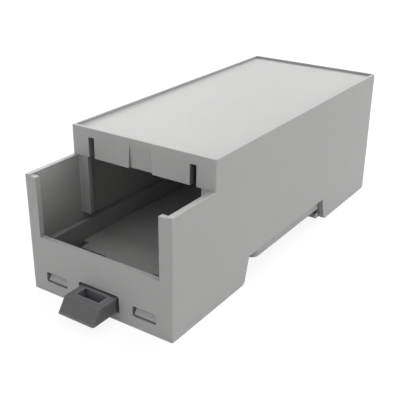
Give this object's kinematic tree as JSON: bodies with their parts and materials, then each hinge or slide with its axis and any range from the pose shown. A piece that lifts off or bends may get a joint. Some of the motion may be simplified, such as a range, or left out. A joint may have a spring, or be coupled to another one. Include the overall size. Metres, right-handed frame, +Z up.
{
  "type": "din rail enclosure",
  "caption": "Low flat snap-together housing for a small circuit board, open at one end for terminals, with hooks and a sliding clip for a top hat rail.",
  "frame": {"origin": "under the middle of the whole part, clip handle included, in the plane of the feet", "axes": "+X across the case, +Y from the end with the clip handle to the closed end, +Z up from the rail to the top"},
  "size_m": [0.0356, 0.097, 0.032],
  "materials": {
    "light_grey_abs": "fine moulded texture, light warm grey",
    "light_grey_abs_inner": "plain moulded, light warm grey",
    "dark_grey_pa": "plain moulded, dark grey"
  },
  "bodies": {
    "enclosure": {"hood": "light_grey_abs", "tray": "light_grey_abs_inner"},
    "clip": {"rail_clip": "dark_grey_pa"}
  },
  "joints": [
    {"name": "clip_slide", "type": "slide", "parent": "enclosure", "child": "clip", "axis": [0, -1, 0], "range_m": [0, 0.003], "stiffness_N_per_m": 800}
  ]
}
